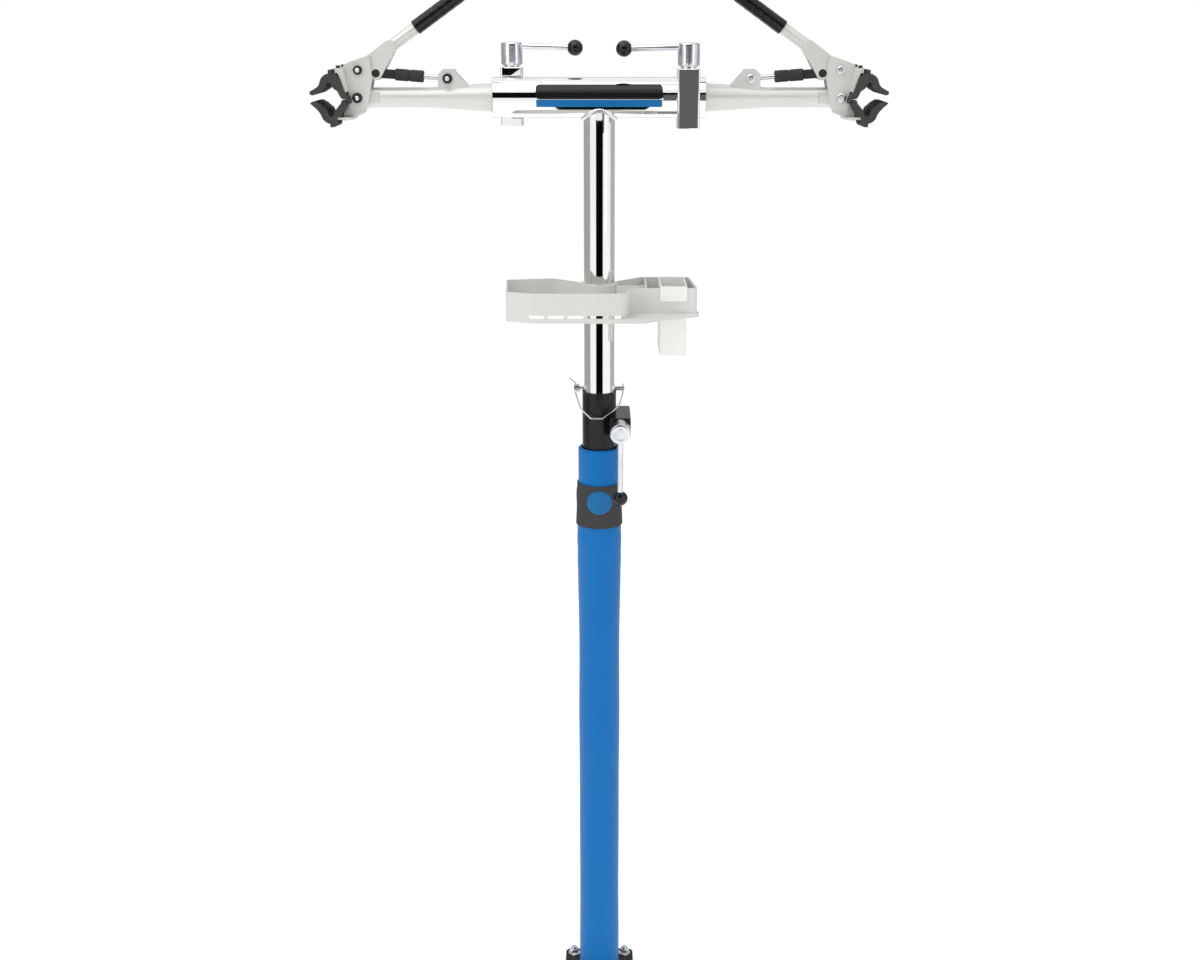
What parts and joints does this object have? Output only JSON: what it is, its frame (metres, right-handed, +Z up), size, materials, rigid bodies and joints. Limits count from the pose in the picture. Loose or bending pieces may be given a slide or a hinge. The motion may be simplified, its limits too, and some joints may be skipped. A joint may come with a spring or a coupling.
{
  "type": "bike repair stand",
  "caption": "Floor-bolted bicycle repair stand: post with height-adjustable mast, cross tube with a turning toggle clamp at each end, tool tray and cushioned sleeve.",
  "frame": {"origin": "on the floor, under the middle of the base flange", "axes": "+Z up, +X along the cross tube, +Y away from the user at the front"},
  "size_m": [0.9158, 0.1735, 1.8078],
  "materials": {
    "chrome_tube": "mirror-bright chrome plate",
    "black_paint": "gloss black powder coat",
    "silver_paint": "light silver-grey paint on castings",
    "zinc": "bright zinc plate",
    "black_oxide": "satin black oxide",
    "ball_plastic": "gloss black moulded ball",
    "grip_vinyl": "glossy black dipped vinyl",
    "pad_rubber": "matte charcoal moulded jaw pad",
    "tray_plastic": "light grey moulded plastic",
    "bin_plastic": "off-white moulded plastic",
    "sleeve_fabric": "blue coated cloth sleeve"
  },
  "bodies": {
    "base": {"lower_post": "black_paint", "base_flange": "black_paint", "flange_bolts": "zinc", "post_sleeve": "sleeve_fabric", "post_lock_housing": "black_paint", "post_lock_bolt": "zinc", "post_lock_wedges": "zinc"},
    "post_lock_handle": {"post_lock_nut": "zinc", "post_lock_rod": "zinc", "post_lock_ball": "ball_plastic"},
    "mast": {"mast_tube": "chrome_tube", "cross_tube": "chrome_tube", "left_lock_housing": "chrome_tube", "left_lock_bolt": "zinc", "left_lock_wedges": "zinc", "right_lock_housing": "chrome_tube", "right_lock_bolt": "zinc", "right_lock_wedges": "zinc"},
    "safety_pin_set": {"safety_pin": "zinc", "safety_pin_bail": "zinc"},
    "tray_set": {"tray": "tray_plastic", "tray_bin": "bin_plastic", "tray_set_screw": "zinc"},
    "left_lock_handle": {"left_lock_nut": "zinc", "left_lock_rod": "zinc", "left_lock_ball": "ball_plastic"},
    "left_arm_set": {"left_clamp_arm": "silver_paint", "left_lower_pad": "pad_rubber", "left_lower_pad_screws": "black_oxide", "left_jaw_pivot": "zinc", "left_anchor_bolt": "zinc"},
    "left_jaw_set": {"left_upper_jaw": "silver_paint", "left_upper_pad": "pad_rubber", "left_upper_pad_screws": "black_oxide", "left_lever_pivot": "zinc"},
    "left_lever_set": {"left_lever": "silver_paint", "left_grip": "grip_vinyl", "left_link_pivot": "black_oxide"},
    "left_link_set": {"left_link_fork": "black_oxide", "left_link_screw": "zinc"},
    "left_adjuster_set": {"left_adjuster": "black_oxide"},
    "right_lock_handle": {"right_lock_nut": "zinc", "right_lock_rod": "zinc", "right_lock_ball": "ball_plastic"},
    "right_arm_set": {"right_clamp_arm": "silver_paint", "right_lower_pad": "pad_rubber", "right_lower_pad_screws": "black_oxide", "right_jaw_pivot": "zinc", "right_anchor_bolt": "zinc"},
    "right_jaw_set": {"right_upper_jaw": "silver_paint", "right_upper_pad": "pad_rubber", "right_upper_pad_screws": "black_oxide", "right_lever_pivot": "zinc"},
    "right_lever_set": {"right_lever": "silver_paint", "right_grip": "grip_vinyl", "right_link_pivot": "black_oxide"},
    "right_link_set": {"right_link_fork": "black_oxide", "right_link_screw": "zinc"},
    "right_adjuster_set": {"right_adjuster": "black_oxide"}
  },
  "joints": [
    {"name": "mast_slide", "type": "slide", "parent": "base", "child": "mast", "axis": [0, 0, 1], "range_m": [0, 0.0889]},
    {"name": "post_lock_turn", "type": "hinge", "parent": "base", "child": "post_lock_handle", "pos_m": [0.035, 0, 1.07], "axis": [0, -1, 0], "continuous": true},
    {"name": "safety_pin_swing", "type": "hinge", "parent": "mast", "child": "safety_pin_set", "pos_m": [0, 0, 1.1293], "axis": [1, 0, 0], "range_deg": [-110, 0]},
    {"name": "tray_swivel", "type": "hinge", "parent": "mast", "child": "tray_set", "pos_m": [0, 0, 1.284], "axis": [0, 0, 1], "continuous": true},
    {"name": "left_lock_turn", "type": "hinge", "parent": "mast", "child": "left_lock_handle", "pos_m": [-0.141, 0.033, 1.607], "axis": [0, 0, 1], "continuous": true},
    {"name": "left_clamp_turn", "type": "hinge", "parent": "mast", "child": "left_arm_set", "pos_m": [-0.17, 0, 1.607], "axis": [1, 0, 0], "continuous": true},
    {"name": "left_jaw_opening", "type": "hinge", "parent": "left_arm_set", "child": "left_jaw_set", "pos_m": [-0.3853, 0, 1.607], "axis": [0, 1, 0], "range_deg": [0, 20]},
    {"name": "left_lever_raise", "type": "hinge", "parent": "left_jaw_set", "child": "left_lever_set", "pos_m": [-0.3832, 0, 1.6499], "axis": [0, -1, 0], "range_deg": [0, 76.2]},
    {"name": "left_link_swing", "type": "hinge", "parent": "left_arm_set", "child": "left_link_set", "pos_m": [-0.2417, 0, 1.6368], "axis": [0, 1, 0], "range_deg": [0, 12.5]},
    {"name": "left_adjuster_turn", "type": "hinge", "parent": "left_link_set", "child": "left_adjuster_set", "pos_m": [-0.29848, 0, 1.64081], "axis": [0.9975, 0, -0.0705], "continuous": true},
    {"name": "right_lock_turn", "type": "hinge", "parent": "mast", "child": "right_lock_handle", "pos_m": [0.141, -0.033, 1.607], "axis": [0, 0, 1], "continuous": true},
    {"name": "right_clamp_turn", "type": "hinge", "parent": "mast", "child": "right_arm_set", "pos_m": [0.17, 0, 1.607], "axis": [-1, 0, 0], "continuous": true},
    {"name": "right_jaw_opening", "type": "hinge", "parent": "right_arm_set", "child": "right_jaw_set", "pos_m": [0.3853, 0, 1.607], "axis": [0, -1, 0], "range_deg": [0, 20]},
    {"name": "right_lever_raise", "type": "hinge", "parent": "right_jaw_set", "child": "right_lever_set", "pos_m": [0.3832, 0, 1.6499], "axis": [0, 1, 0], "range_deg": [0, 76.2]},
    {"name": "right_link_swing", "type": "hinge", "parent": "right_arm_set", "child": "right_link_set", "pos_m": [0.2417, 0, 1.6368], "axis": [0, -1, 0], "range_deg": [0, 12.5]},
    {"name": "right_adjuster_turn", "type": "hinge", "parent": "right_link_set", "child": "right_adjuster_set", "pos_m": [0.29848, 0, 1.64081], "axis": [-0.9975, 0, -0.0705], "continuous": true}
  ],
  "couplings": [
    {"joint": "left_lever_raise", "follows": "left_jaw_opening", "ratio": 3.8},
    {"joint": "left_link_swing", "follows": "left_jaw_opening", "ratio": 0.62},
    {"joint": "right_lever_raise", "follows": "right_jaw_opening", "ratio": 3.8},
    {"joint": "right_link_swing", "follows": "right_jaw_opening", "ratio": 0.62}
  ]
}
